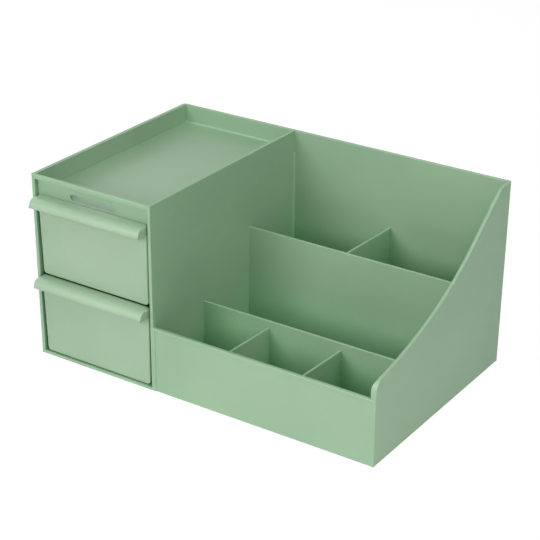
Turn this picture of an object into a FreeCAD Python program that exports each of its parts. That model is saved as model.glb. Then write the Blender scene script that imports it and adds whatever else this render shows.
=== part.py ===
import FreeCAD, Part
import math
import os
from FreeCAD import Vector

# Desk organizer: a moulded case with two sliding drawers. Millimetres, +Z up.
# The origin is the centre of the case's footprint, on the surface it stands on. The front faces -Y.

# Case, outside
case_width = 300.0
case_depth = 191.0
case_height = 149.5
wall = 2.5
left_wall = 3.1
floor_thick = 2.2
draft = 0.0043          # how far an outer wall leans in, per millimetre down from the rim
tower_corner_radius = 1.2
panel_corner_radius = 1.4
back_corner_radius = 2.0
edge_radius = 0.5       # broken edges of the panel's top and the drawers' opening

# Tower on the left, with a tray on top
tower_width = 110.6
tower_edge_radius = 1.0 # upright edge between the tower's front and the open section
tray_depth = 15.0
tray_floor_thick = 2.5
inner_radius = 1.5      # inside corners of the compartments, along their floors and the tray's back edge
lip_height = 3.7        # the raised lip over the drawers' opening
ledge_drop = 2.2        # how far the tray's inner ledge lies under its rim
strip_recess = 3.6      # how far the tray's front strip stands behind the case's front
strip_thick = 2.0
slot_length = 42.3
slot_height = 5.5
slot_sink = 0.1         # the slot's lower edge lies this far under the tray's floor

# Open section on the right
panel_height = 52.7
panel_lip_height = 2.4
panel_recess = 0.6      # of its field under the lip
panel_inner_radius = 3.0        # inside corner between the panel and the right wall
nose_step = 2.0         # the right wall's front end is this much thicker, over the panel
nose_fade = 8.0         # height over which that thickness fades out, towards the nose's top
border_width = 4.0      # flat border between the drawers and the low panel's field
front_row_depth = 61.0
middle_row_depth = 59.1
divider_thick = 1.8
divider_edge_radius = 0.3
front_divider_height = 49.2
middle_divider_height = 89.2
front_short_x = (59.2, 122.2)   # short dividers, from the tower's wall to their middles
rear_short_x = (89.7,)
front_short_height = 43.5       # at its back end
rear_short_height = 87.7
short_fall = 0.042      # rise of a short divider's top edge towards the front, per millimetre
cove_radius = 1.6       # moulded cove where the tower meets the back wall

# Right wall's falling top edge, from the back rim to the front
rim_run = 10.0          # level stretch at the back corner
shoulder_radius = 15.0
steep_slope = 0.78
steep_length = 45.0
upper_pull = 64.0       # how far the curve follows the steep line's direction
lower_pull = 20.0       # and how far the low line's direction
low_slope = 0.17
nose_rise = 14.5        # where the curve starts on the rounded nose, over the panel's top
nose_radius = 8.5

# Drawers
drawer_set_back = 1.0   # drawer front behind the case's front, at its top
drawer_side_gap = 1.4   # at the drawer's top
drawer_run_gap = 0.5    # under a drawer
drawer_top_gap = 0.6    # over the lower drawer's front, to the shelf's top
front_top_gap = 1.1     # over the upper drawer's front, to the level of the tray's floor
drawer_back_gap = 1.5
drawer_draft = 0.0175
drawer_wall = 2.0
drawer_floor = 2.0
front_thick = 2.3
side_drop = 4.4         # drawer sides end this far under the front's top
drawer_bottom_radius = 3.0
drawer_back_radius = 5.0
front_edge_radius = 1.2
shelf_thick = 2.2
shelf_set_back = 8.0    # front edge of the shelf between the drawers, behind the strip's face
pull_reach = 10.3       # in front of the drawer's face
pull_height = 7.5
pull_radius = 7.0
pull_wall = 1.8
pull_end_wall = 2.2
pull_end_radius = 2.0

left = -case_width / 2
right = case_width / 2
front = -case_depth / 2
back = case_depth / 2
tower_right = left + tower_width
bay_right = tower_right - wall
tray_top = case_height - tray_depth
tray_under = tray_top - tray_floor_thick
fronts_height = tray_top - front_top_gap - floor_thick - 2 * drawer_run_gap - drawer_top_gap
drawer_height = fronts_height / 2
lower_base = floor_thick + drawer_run_gap
shelf_top = lower_base + drawer_height + drawer_top_gap
upper_base = shelf_top + drawer_run_gap
inner_front = front + panel_recess + wall


def lean(z):
    """How far the outer walls stand inside the rim's outline at height z."""
    return draft * (case_height - z)


def soft_polygon(points, radii, place):
    """Closed wire through the points, each corner rounded by its radius; place makes a pair a point."""
    rounded = []
    for i, (p, r) in enumerate(zip(points, radii)):
        before = points[i - 1]
        after = points[(i + 1) % len(points)]
        a = Vector(before[0] - p[0], before[1] - p[1], 0).normalize()
        b = Vector(after[0] - p[0], after[1] - p[1], 0).normalize()
        if r == 0:
            rounded.append((p, None, p))
            continue
        half = a.getAngle(b) / 2
        run = r / math.tan(half)
        inward = (a + b).normalize()
        reach = r / math.sin(half) - r
        start = (p[0] + a.x * run, p[1] + a.y * run)
        middle = (p[0] + inward.x * reach, p[1] + inward.y * reach)
        end = (p[0] + b.x * run, p[1] + b.y * run)
        rounded.append((start, middle, end))
    edges = []
    for i, (start, middle, end) in enumerate(rounded):
        if middle:
            edges.append(Part.Arc(place(*start), place(*middle), place(*end)).toShape())
        following = rounded[(i + 1) % len(rounded)][0]
        edges.append(Part.LineSegment(place(*end), place(*following)).toShape())
    return Part.Wire(edges)


def leaning_block(x0, x1, y0, y1, z0, z1, radii=(0, 0, 0, 0), leans=(1, 1, 1, 1)):
    """Block given by its sides at rim height; sides marked 1 (left, right, front, back) lean in below.

    The radii round its upright edges: front left, front right, back right, back left.
    """
    rings = []
    for z in (z0, z1):
        d = lean(z)
        a, b = x0 + leans[0] * d, x1 - leans[1] * d
        c, e = y0 + leans[2] * d, y1 - leans[3] * d
        rings.append([Vector(a, c, z), Vector(b, c, z), Vector(b, e, z), Vector(a, e, z)])
    low, high = rings
    outlines = [low[::-1], high]
    outlines += [[low[i - 1], low[i], high[i], high[i - 1]] for i in range(4)]
    faces = [Part.Face(Part.makePolygon(outline + [outline[0]])) for outline in outlines]
    solid = Part.Solid(Part.Shell(faces))
    for corner, radius in zip(low, radii):
        if radius:
            upright = [e for e in solid.Edges if abs(e.tangentAt(e.FirstParameter).z) > 0.9]
            upright.sort(key=lambda e: e.distToShape(Part.Vertex(corner))[0])
            solid = solid.makeFillet(radius, upright[:1])
    return solid


def block(x0, x1, y0, y1, z0, z1):
    return Part.makeBox(x1 - x0, y1 - y0, z1 - z0, Vector(x0, y0, z0))


def prism_x(wire, x0, x1):
    """Solid between two X planes from a closed outline drawn in the plane x = 0."""
    face = Part.Face(wire)
    face.translate(Vector(x0, 0, 0))
    return face.extrude(Vector(x1 - x0, 0, 0))


def prism_y(wire, y0, y1):
    """Solid between two Y planes from a closed outline drawn in the plane y = 0."""
    face = Part.Face(wire)
    face.translate(Vector(0, y0, 0))
    return face.extrude(Vector(0, y1 - y0, 0))


def in_yz(y, z):
    return Vector(0, y, z)


def in_xz(x, z):
    return Vector(x, 0, z)


def level_edges(shape, z):
    """Edges that lie wholly at height z."""
    return [e for e in shape.Edges if all(abs(v.Z - z) < 1e-4 for v in e.Vertexes)]


def outer_block():
    radii = (tower_corner_radius, panel_corner_radius, back_corner_radius, back_corner_radius)
    return leaning_block(left, right, front, back, 0, case_height, radii)


def panel_field():
    """The material in front of the low panel's recessed field, under its lip."""
    top = panel_height - panel_lip_height
    slab = block(bay_right + border_width, right + 1, front - 1, front + 2 * panel_corner_radius, -1, top)
    radii = (0, panel_corner_radius - panel_recess / 2, 0, 0)
    kept = leaning_block(left, right, front + panel_recess, back, -1, top, radii)
    return slab.cut(kept)


def tray_space():
    """The tray behind its strip, and the narrow space over the strip's ledge."""
    inner = front + strip_recess + strip_thick
    over = case_height + 1
    side = left + left_wall
    main = leaning_block(side, bay_right, inner, back - wall, tray_top, over, leans=(1, 0, 0, 1))
    far_edge = [e for e in level_edges(main, tray_top) if all(v.Y > back - 2 * wall for v in e.Vertexes)]
    main = main.makeFillet(inner_radius, far_edge)
    ledge = case_height - ledge_drop
    over_strip = leaning_block(side, bay_right, front + wall, inner + 2, ledge, over, leans=(1, 0, 1, 0))
    return [main, over_strip]


def drawer_spaces():
    """The two bays, joined in front of the shelf, and the shallow space that the drawer fronts stand in."""
    strip_face = front + strip_recess
    side = left + left_wall
    mouth = leaning_block(side, bay_right, front - 1, strip_face, floor_thick, case_height - lip_height,
                          leans=(1, 0, 0, 0))
    before_shelf = leaning_block(side, bay_right, strip_face - 1, strip_face + shelf_set_back, floor_thick,
                                 tray_under, leans=(1, 0, 0, 0))
    spaces = [mouth, before_shelf]
    for low, high in ((floor_thick, shelf_top - shelf_thick), (shelf_top, tray_under)):
        spaces.append(leaning_block(side, bay_right, strip_face - 1, back - wall, low, high,
                                    (0, 0, inner_radius, inner_radius), (1, 0, 0, 1)))
    return spaces


def finger_slot():
    middle = left + tower_width / 2
    low = tray_top - slot_sink
    r = slot_height / 2
    corners = [(middle - slot_length / 2, low), (middle + slot_length / 2, low),
               (middle + slot_length / 2, low + slot_height), (middle - slot_length / 2, low + slot_height)]
    outline = soft_polygon(corners, (r * 0.999,) * 4, in_xz)
    return prism_y(outline, front + strip_recess - 1, front + strip_recess + strip_thick + 0.01)


def compartment_space():
    radii = (0, panel_inner_radius, inner_radius, 0)
    space = leaning_block(tower_right, right - wall, inner_front, back - wall, floor_thick, case_height + 1,
                          radii, (0, 1, 1, 1))
    return space.makeFillet(inner_radius, level_edges(space, floor_thick))


def over_panel():
    """What is cut away over the low panel; its right side bows out to the wall below the nose's top."""
    side = right - wall - lean(panel_height)
    high = panel_height + nose_rise - edge_radius
    low = high - nose_fade
    over = case_height + 1
    bow = (nose_step ** 2 + nose_fade ** 2) / (2 * nose_step)
    half_way = side - nose_step + bow - math.sqrt(bow ** 2 - (nose_fade / 2) ** 2)
    path = [in_xz(side, high), in_xz(side, over), in_xz(tower_right, over), in_xz(tower_right, panel_height),
            in_xz(side - nose_step, panel_height), in_xz(side - nose_step, low)]
    edges = [Part.LineSegment(a, b).toShape() for a, b in zip(path, path[1:])]
    edges.append(Part.Arc(path[-1], in_xz(half_way, low + nose_fade / 2), path[0]).toShape())
    return prism_y(Part.Wire(edges), front - 2, inner_front + panel_inner_radius)


def falling_edge():
    """What is cut away over the right wall: a nose, a long S and a shoulder at the back rim."""
    face = front + panel_recess + lean(panel_height)
    low_angle = math.atan(low_slope)
    along = Vector(0, math.cos(low_angle), math.sin(low_angle))
    outward = Vector(0, -math.sin(low_angle), math.cos(low_angle))
    nose_top = panel_height + nose_rise
    centre = Vector(0, face + nose_radius, nose_top - nose_radius * math.cos(low_angle))
    nose_start = centre + Vector(0, -nose_radius, 0)
    nose_end = centre + outward * nose_radius
    nose_middle = centre + (outward + Vector(0, -1, 0)).normalize() * nose_radius
    steep_angle = math.atan(steep_slope)
    up = Vector(0, math.cos(steep_angle), math.sin(steep_angle))
    rim_end = Vector(0, back - rim_run, case_height)
    shoulder_run = shoulder_radius * math.tan(steep_angle / 2)
    shoulder_start = rim_end - Vector(0, shoulder_run, 0) - up * shoulder_run
    above_centre = rim_end - Vector(0, 0, shoulder_radius)
    half_way = Vector(0, -math.sin(steep_angle / 2), math.cos(steep_angle / 2))
    shoulder_middle = above_centre + half_way * shoulder_radius
    curve_end = shoulder_start - up * steep_length
    curve = Part.BezierCurve()
    curve.setPoles([nose_end, nose_end + along * lower_pull, curve_end - up * upper_pull, curve_end])
    over = case_height + 1
    path = [Vector(0, front - 2, panel_height), Vector(0, face, panel_height), nose_start]
    edges = [Part.LineSegment(a, b).toShape() for a, b in zip(path, path[1:])]
    edges.append(Part.Arc(nose_start, nose_middle, nose_end).toShape())
    edges.append(curve.toShape())
    edges.append(Part.LineSegment(curve_end, shoulder_start).toShape())
    edges.append(Part.Arc(shoulder_start, shoulder_middle, rim_end).toShape())
    closing = [rim_end, Vector(0, back - rim_run, over), Vector(0, front - 2, over), path[0]]
    edges += [Part.LineSegment(a, b).toShape() for a, b in zip(closing, closing[1:])]
    return prism_x(Part.Wire(edges), right - wall - 2 * nose_step, right + 1)


def long_divider(y0, height):
    low = floor_thick - 0.5
    plate = block(tower_right - 0.5, right - wall - 0.5, y0, y0 + divider_thick, low, height)
    return plate.makeFillet(divider_edge_radius, [e for e in level_edges(plate, height) if e.Length > 10])


def short_divider(x, y0, y1, back_height):
    """Plate between two long walls, its top edge rising to the front."""
    low = floor_thick - 0.5
    corners = [(y0, low), (y1, low), (y1, back_height), (y0, back_height + short_fall * (y1 - y0))]
    wire = soft_polygon(corners, (0, 0, 0, 0), in_yz)
    middle = tower_right + x
    plate = prism_x(wire, middle - divider_thick / 2, middle + divider_thick / 2)
    tops = [e for e in plate.Edges if e.Length > 10 and all(v.Z > back_height - 0.1 for v in e.Vertexes)]
    return plate.makeFillet(divider_edge_radius, tops)


def dividers():
    front_divider = inner_front + front_row_depth
    middle_divider = front_divider + divider_thick + middle_row_depth
    pieces = [long_divider(front_divider, front_divider_height)]
    pieces.append(long_divider(middle_divider, middle_divider_height))
    for x in front_short_x:
        pieces.append(short_divider(x, inner_front - 0.5, front_divider + 0.5, front_short_height))
    for x in rear_short_x:
        pieces.append(short_divider(x, middle_divider + 0.5, back - wall + 0.5, rear_short_height))
    return pieces


def corner_cove():
    """Moulded cove up the corner of tower and back wall, ending under the tray."""
    low, high = floor_thick - 0.5, tray_under - 1
    inner_back = back - wall
    deepest = inner_back - lean(low) - cove_radius
    stock = block(tower_right - 0.5, tower_right + cove_radius, deepest - 0.1, inner_back + 0.5, low, high)
    reach = 4 * cove_radius
    radii = (0, 0, 0, cove_radius)
    hollow = leaning_block(tower_right, tower_right + reach, inner_back - reach, inner_back,
                           low - 1, high + 1, radii, (0, 0, 0, 1))
    return stock.cut(hollow)


def tower_edge(shape):
    """The upright edge of the tower's front beside the open section."""
    def on_edge(v):
        return abs(v.X - tower_right) < 1e-3 and v.Y < front + wall and v.Z > panel_height - 0.1
    return [e for e in shape.Edges if e.Length > case_height / 4 and all(on_edge(v) for v in e.Vertexes)]


def panel_edges(shape):
    """Both long edges of the low panel's top."""
    return [e for e in level_edges(shape, panel_height) if e.Length > case_width / 2]


def mouth_edges(shape):
    """The drawers' opening, left, right and top, in the case's front."""
    def on_front(v):
        inside = v.X < tower_right - 0.1 and floor_thick - 0.1 < v.Z < case_height - lip_height + 0.1
        return inside and abs(v.Y - front - lean(v.Z)) < 1e-3
    return [e for e in shape.Edges if all(on_front(v) for v in e.Vertexes)]


def make_case():
    spaces = tray_space() + drawer_spaces() + [finger_slot(), compartment_space(), over_panel()]
    spaces += [falling_edge(), panel_field()]
    shell = outer_block().cut(spaces)
    case = shell.fuse(dividers() + [corner_cove()]).removeSplitter()
    case = case.makeFillet(tower_edge_radius, tower_edge(case))
    case = case.makeFillet(edge_radius, panel_edges(case))
    case = case.makeFillet(edge_radius, mouth_edges(case))
    return case


def make_drawer(base):
    top = base + drawer_height
    side_top = top - side_drop
    face_top = front + drawer_set_back
    rear_top = back - wall - drawer_back_gap
    middle = (left + left_wall + bay_right) / 2
    half = (bay_right - left - left_wall) / 2 - drawer_side_gap
    pull_low = top - pull_height
    pull_front = face_top - pull_reach

    def drop(z):
        return drawer_draft * (top - z)

    def across(inset, low, high, low_radius, high_radius):
        """Outline seen from the front, inset from the drawer's sides."""
        a, b = half - inset - drop(low), half - inset - drop(high)
        corners = [(middle - a, low), (middle + a, low), (middle + b, high), (middle - b, high)]
        return soft_polygon(corners, (low_radius, low_radius, high_radius, high_radius), in_xz)

    def solid_of(front_view, side_view):
        long_way = prism_y(front_view, front - pull_reach - 5, back)
        return long_way.common(prism_x(side_view, middle - half - 1, middle + half + 1))

    side = [(face_top + drop(base), base), (face_top + drop(pull_low), pull_low), (pull_front, pull_low),
            (pull_front, top), (face_top + front_thick, top), (face_top + front_thick, side_top),
            (rear_top - drop(side_top), side_top), (rear_top - drop(base), base)]
    side_radii = (0, 0, 0.4, pull_radius, 0.4, 0, 0, drawer_back_radius)
    body = solid_of(across(0, base, top, drawer_bottom_radius, pull_end_radius),
                    soft_polygon(side, side_radii, in_yz))
    low = base + drawer_floor
    high = top + 2
    inside = [(face_top + front_thick + drop(low), low), (face_top + front_thick + drop(high), high),
              (rear_top - drawer_wall - drop(high), high), (rear_top - drawer_wall - drop(low), low)]
    r = drawer_bottom_radius
    hollow = solid_of(across(drawer_wall, low, high, r, 0), soft_polygon(inside, (r, 0, 0, r), in_yz))
    under = [(pull_front + pull_wall, pull_low - 1), (pull_front + pull_wall, top - pull_wall),
             (face_top, top - pull_wall), (face_top + drop(pull_low - 1), pull_low - 1)]
    grip = prism_x(soft_polygon(under, (0, pull_radius - pull_wall, 0, 0), in_yz),
                   middle - half + pull_end_wall, middle + half - pull_end_wall)
    drawer = body.cut([hollow, grip]).removeSplitter()

    def under_pull(e):
        on_face = all(abs(v.Y - face_top - drop(v.Z)) < 1e-3 and v.Z < pull_low + 0.1 for v in e.Vertexes)
        return on_face and min(v.Z for v in e.Vertexes) < pull_low - 2

    return drawer.makeFillet(front_edge_radius, [e for e in drawer.Edges if under_pull(e)])


os.makedirs("parts", exist_ok=True)
make_case().exportStep("parts/case.step")
make_drawer(upper_base).exportStep("parts/upper_drawer.step")
make_drawer(lower_base).exportStep("parts/lower_drawer.step")
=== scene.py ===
import math

import bmesh
import bpy
from mathutils import Matrix, Vector


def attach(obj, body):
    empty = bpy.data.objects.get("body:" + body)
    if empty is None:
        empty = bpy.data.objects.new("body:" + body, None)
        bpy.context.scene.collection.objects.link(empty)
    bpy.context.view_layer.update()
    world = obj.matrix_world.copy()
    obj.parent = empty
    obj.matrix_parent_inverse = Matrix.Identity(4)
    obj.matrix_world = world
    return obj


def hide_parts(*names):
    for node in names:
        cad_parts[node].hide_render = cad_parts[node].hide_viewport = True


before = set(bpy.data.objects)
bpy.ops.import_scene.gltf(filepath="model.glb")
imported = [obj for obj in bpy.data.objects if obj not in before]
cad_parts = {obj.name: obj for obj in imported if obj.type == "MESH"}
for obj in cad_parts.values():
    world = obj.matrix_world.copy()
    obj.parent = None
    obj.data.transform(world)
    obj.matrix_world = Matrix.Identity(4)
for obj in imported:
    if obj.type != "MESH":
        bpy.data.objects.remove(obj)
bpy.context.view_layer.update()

print("frame loaded:", sorted(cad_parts))


# Shader helper: a node's socket that takes + - * and higher
class Wire:
    def __init__(self, tree, socket):
        self.tree = tree
        self.socket = socket

    def math(self, operation, *others):
        node = self.tree.nodes.new("ShaderNodeMath")
        node.operation = operation
        for place, value in zip(node.inputs, (self,) + others):
            connect(self.tree, value, place)
        return Wire(self.tree, node.outputs[0])

    def __add__(self, other):
        return self.math("ADD", other)

    def __radd__(self, other):
        return self.math("ADD", other)

    def __sub__(self, other):
        return self.math("SUBTRACT", other)

    def __rsub__(self, other):
        return (self * -1) + other

    def __mul__(self, other):
        return self.math("MULTIPLY", other)

    def __rmul__(self, other):
        return self.math("MULTIPLY", other)

    def higher(self, other):
        return self.math("MAXIMUM", other)


def connect(tree, value, place):
    if isinstance(value, Wire):
        tree.links.new(value.socket, place)
    else:
        place.default_value = value


# One material in the making
class Shading:
    def __init__(self, name):
        self.material = bpy.data.materials.new(name)
        self.material.use_nodes = True
        self.tree = self.material.node_tree
        self.tree.nodes.clear()

    def node(self, kind, settings=None, output=0, **inputs):
        made = self.tree.nodes.new("ShaderNode" + kind)
        for key, value in (settings or {}).items():
            setattr(made, key, value)
        for key, value in inputs.items():
            connect(self.tree, value, findInput(made, key))
        return Wire(self.tree, made.outputs[output])

    def step(self, value, low, high):
        settings = {"interpolation_type": "SMOOTHSTEP"}
        return self.node("MapRange", settings, value=value, fromMin=low, fromMax=high)

    def blend(self, factor, first, second):
        made = self.tree.nodes.new("ShaderNodeMix")
        made.data_type = "RGBA"
        connect(self.tree, factor, made.inputs[0])
        connect(self.tree, first, made.inputs[6])     # a Mix node's colours are its inputs 6 and 7
        connect(self.tree, second, made.inputs[7])
        return Wire(self.tree, made.outputs[2])

    def mixShader(self, factor, first, second):
        made = self.tree.nodes.new("ShaderNodeMixShader")
        for place, value in zip(made.inputs, (factor, first, second)):
            connect(self.tree, value, place)
        return Wire(self.tree, made.outputs[0])

    def finish(self, shader):
        out = self.tree.nodes.new("ShaderNodeOutputMaterial")
        self.tree.links.new(shader.socket, out.inputs["Surface"])
        return self.material


def findInput(made, key):
    for place in made.inputs:
        if place.enabled and place.name.replace(" ", "").lower() == key.lower():
            return place
    raise KeyError(made.bl_idname + " has no input " + key)


def linear(red, green, blue):
    # screen colour, 0 to 255, to the shader's linear colour
    def channel(value):
        value = value / 255
        return value / 12.92 if value <= 0.04045 else ((value + 0.055) / 1.055) ** 2.4
    return (channel(red), channel(green), channel(blue), 1.0)


# Moulded green plastic, lengths in metres
plastic = {
    "paleColour": (141, 172, 141),      # faint cloudy areas of two greens
    "darkColour": (135, 167, 136),
    "cloudScale": 9.0,
    "cloudEdges": (0.35, 0.65),
    "hollowColour": (108, 165, 114),    # painted shade: a fuller green painted deep down between the walls
    "hollowReach": 0.12,
    "hollowOpenness": (0.0, 0.42),      # share of open sky where the painted shade is full and gone
    "hollowSamples": 8,
    "gapColour": (14, 96, 32),          # painted shadow: dark green in the narrow gaps round the drawers
    "gapOpenness": (0.02, 0.14),
    "grainScale": 1500.0,               # fine matt grain of the mould
    "grainHeight": 0.00002,
    "waveScale": 14.0,                  # slow unevenness of thin flat walls
    "waveHeight": 0.00012,
    "roughness": 0.45,
    "roughnessSpread": 0.07,
    "patchScale": 60.0,                 # rougher and smoother patches
    "specular": 0.8,
    "scatter": 0.35,                    # light that enters the plastic and leaves it near by
    "scatterReach": 0.003,
    "scatterColour": (0.45, 1.0, 0.5),
}

# The drawers' plastic is a touch paler
drawerShade = {
    "paleColour": (149, 175, 148),
    "darkColour": (143, 170, 143),
}


def mouldedPlastic(name, settings):
    made = Shading(name)
    place = made.node("TexCoord", output="Object")
    cloud = made.node("TexNoise", vector=place, scale=settings["cloudScale"], detail=3.0, roughness=0.5)
    colour = made.blend(made.step(cloud, *settings["cloudEdges"]), linear(*settings["darkColour"]),
                        linear(*settings["paleColour"]))
    # painted shade: an ambient occlusion mask paints fuller green into the hollows and dark green shadow
    # into the gaps
    paintedShadeMask = made.node("AmbientOcclusion", {"samples": settings["hollowSamples"]}, output="AO",
                         distance=settings["hollowReach"])
    colour = made.blend(made.step(paintedShadeMask, *settings["hollowOpenness"]), linear(*settings["hollowColour"]),
                        colour)
    # painted shadow, dark green, in the narrow gaps round the drawers
    colour = made.blend(made.step(paintedShadeMask, *settings["gapOpenness"]), linear(*settings["gapColour"]),
                        colour)
    grain = made.node("TexNoise", vector=place, scale=settings["grainScale"], detail=2.0, roughness=0.6)
    wave = made.node("TexNoise", vector=place, scale=settings["waveScale"], detail=1.0, roughness=0.4)
    patches = made.node("TexNoise", vector=place, scale=settings["patchScale"], detail=4.0, roughness=0.6)
    height = grain * settings["grainHeight"] + wave * settings["waveHeight"]
    bump = made.node("Bump", strength=1.0, distance=1.0, height=height)
    shader = made.node(
        "BsdfPrincipled",
        baseColor=colour,
        roughness=(patches - 0.5) * settings["roughnessSpread"] * 2 + settings["roughness"],
        specularIORLevel=settings["specular"],
        subsurfaceWeight=settings["scatter"],
        subsurfaceRadius=settings["scatterColour"],
        subsurfaceScale=settings["scatterReach"],
        normal=bump,
    )
    return made.finish(shader)


casePlastic = mouldedPlastic("casePlastic", plastic)
drawerPlastic = mouldedPlastic("drawerPlastic", {**plastic, **drawerShade})
print("materials made")


# Moulded pieces: the solids with their outer edges rounded
edges = {
    "mergeWithin": 0.000002,
    "flatWithin": math.radians(0.6),
    "sharpOver": math.radians(60),      # outer edges sharper than this are rounded
    "roundWithin": math.radians(50),    # faces that meet flatter than this are shaded as one
    "caseRadius": 0.00045,
    "drawerRadius": 0.0004,
    "segments": 3,
    "flatWeight": 90,                   # how much the large faces keep their own shading
}


def isSharp(edge):
    return len(edge.link_faces) == 2 and edge.calc_face_angle_signed() > edges["sharpOver"]


def isSmooth(edge):
    return len(edge.link_faces) == 2 and edge.calc_face_angle() < edges["roundWithin"]


def softenedCopy(node, name, radius, material):
    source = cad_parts[node]
    mesh = bpy.data.meshes.new(name)
    piece = bpy.data.objects.new(name, mesh)
    bpy.context.scene.collection.objects.link(piece)
    bm = bmesh.new()
    bm.from_mesh(source.data)
    bmesh.ops.remove_doubles(bm, verts=bm.verts, dist=edges["mergeWithin"])
    bmesh.ops.dissolve_limit(bm, angle_limit=edges["flatWithin"], verts=bm.verts, edges=bm.edges)
    bmesh.ops.connect_verts_concave(bm, faces=bm.faces)     # a ring-shaped face would fill its hole
    bmesh.ops.bevel(bm, geom=[edge for edge in bm.edges if isSharp(edge)], offset=radius,
                    offset_type="OFFSET", affect="EDGES", profile=0.5, segments=edges["segments"],
                    material=-1, clamp_overlap=False, loop_slide=True)
    for face in bm.faces:
        face.smooth = True
        face.material_index = 0
    for edge in bm.edges:
        edge.smooth = isSmooth(edge)
    bm.to_mesh(mesh)
    bm.free()
    mesh.materials.append(material)
    shade = piece.modifiers.new("evenShading", "WEIGHTED_NORMAL")
    shade.keep_sharp = True
    shade.weight = edges["flatWeight"]
    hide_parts(node)
    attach(piece, node)
    return piece


case = softenedCopy("case", "caseShell", edges["caseRadius"], casePlastic)
for node in ("upper_drawer", "lower_drawer"):
    drawer = softenedCopy(node, node + "Box", edges["drawerRadius"], drawerPlastic)
print("pieces made")


# Floor, world and lamps
studio = {
    "floorSize": 6.0,
    "floorColour": (250, 250, 250),
    "floorRoughness": 0.9,
    "floorSpecular": 0.1,
    "floorWhite": 0.92,                 # share of plain white that the camera sees on the floor
    "whiteStrength": 1.04,
    "worldStrength": 0.0,               # the world is seen, and mirrored, but lights nothing
}

lamps = {
    "leftLamp": {"place": (-1.87, 0.68, 0.99), "size": 1.0, "power": 11.0},
    "mainLamp": {"place": (-0.52, -1.93, 0.99), "size": 1.0, "power": 25.6},
    "frontLamp": {"place": (0.52, -1.93, 0.99), "size": 1.0, "power": 8.4},
    "rightLamp": {"place": (1.93, -0.52, 0.99), "size": 1.0, "power": 6.0},
    "highLamp": {"place": (0.89, -0.89, 1.86), "size": 1.0, "power": 11.2},
    "rightHighLamp": {"place": (1.22, -0.33, 1.86), "size": 1.0, "power": 14.8},
}
lampsAim = (0.0, 0.0, 0.06)


def makeFloor():
    bm = bmesh.new()
    bmesh.ops.create_grid(bm, x_segments=1, y_segments=1, size=studio["floorSize"] / 2)
    mesh = bpy.data.meshes.new("floor")
    bm.to_mesh(mesh)
    bm.free()
    floor = bpy.data.objects.new("floor", mesh)
    bpy.context.scene.collection.objects.link(floor)
    made = Shading("floorPaint")
    paint = made.node("BsdfPrincipled", baseColor=linear(*studio["floorColour"]),
                      roughness=studio["floorRoughness"], specularIORLevel=studio["floorSpecular"])
    white = made.node("Emission", color=(1.0, 1.0, 1.0, 1.0), strength=studio["whiteStrength"])
    seen = made.node("LightPath", output="Is Camera Ray")
    mesh.materials.append(made.finish(made.mixShader(seen * studio["floorWhite"], paint, white)))


def makeLamp(name, settings):
    light = bpy.data.lights.new(name, "AREA")
    light.shape = "DISK"
    light.size = settings["size"]
    light.energy = settings["power"]
    lamp = bpy.data.objects.new(name, light)
    bpy.context.scene.collection.objects.link(lamp)
    place = Vector(settings["place"])
    turn = (Vector(lampsAim) - place).to_track_quat("-Z", "Y").to_matrix().to_4x4()
    lamp.matrix_world = Matrix.Translation(place) @ turn


def makeWorld():
    world = bpy.data.worlds.new("studioWorld")
    world.use_nodes = True
    tree = world.node_tree
    tree.nodes.clear()
    out = tree.nodes.new("ShaderNodeOutputWorld")
    background = tree.nodes.new("ShaderNodeBackground")
    path = tree.nodes.new("ShaderNodeLightPath")
    seen = Wire(tree, path.outputs["Is Camera Ray"]).higher(Wire(tree, path.outputs["Is Glossy Ray"]))
    strength = seen * (1 - studio["worldStrength"]) + studio["worldStrength"]
    background.inputs["Color"].default_value = (1, 1, 1, 1)
    connect(tree, strength, background.inputs["Strength"])
    tree.links.new(background.outputs[0], out.inputs["Surface"])
    bpy.context.scene.world = world


makeFloor()
makeWorld()
for name, settings in lamps.items():
    makeLamp(name, settings)
print("light made")


# Camera, placed as the photograph was taken: angles in degrees, lengths in metres
view = {
    "azimuth": 33.619,                  # turned to the right of straight in front
    "elevation": 25.231,
    "roll": 0.47,
    "distance": 1.242954,
    "target": (0.0, 0.0045, 0.06),
    "slide": (-0.002407, 0.010802),     # sideways and up, square to the line of sight
    "focalPixels": 1627.301,
    "imagePixels": 540,
    "sensor": 36.0,                     # millimetres
    "clipStart": 0.05,
    "clipEnd": 50,
}


def makeCamera():
    azimuth = math.radians(view["azimuth"])
    elevation = math.radians(view["elevation"])
    roll = math.radians(view["roll"])
    toCamera = Vector((math.sin(azimuth) * math.cos(elevation), -math.cos(azimuth) * math.cos(elevation),
                       math.sin(elevation)))
    right = (-toCamera).cross(Vector((0, 0, 1))).normalized()
    up = right.cross(-toCamera)
    turnedRight = math.cos(roll) * right + math.sin(roll) * up
    turnedUp = -math.sin(roll) * right + math.cos(roll) * up
    place = Vector(view["target"]) + toCamera * view["distance"]
    place += turnedRight * view["slide"][0] + turnedUp * view["slide"][1]
    data = bpy.data.cameras.new("camera")
    data.sensor_width = view["sensor"]
    data.lens = view["focalPixels"] / view["imagePixels"] * view["sensor"]
    data.clip_start = view["clipStart"]
    data.clip_end = view["clipEnd"]
    camera = bpy.data.objects.new("camera", data)
    bpy.context.scene.collection.objects.link(camera)
    axes = Matrix((turnedRight, turnedUp, toCamera)).transposed().to_4x4()
    camera.matrix_world = Matrix.Translation(place) @ axes
    bpy.context.scene.camera = camera


makeCamera()
bpy.context.scene.view_settings.view_transform = "Standard"
print("studio made")
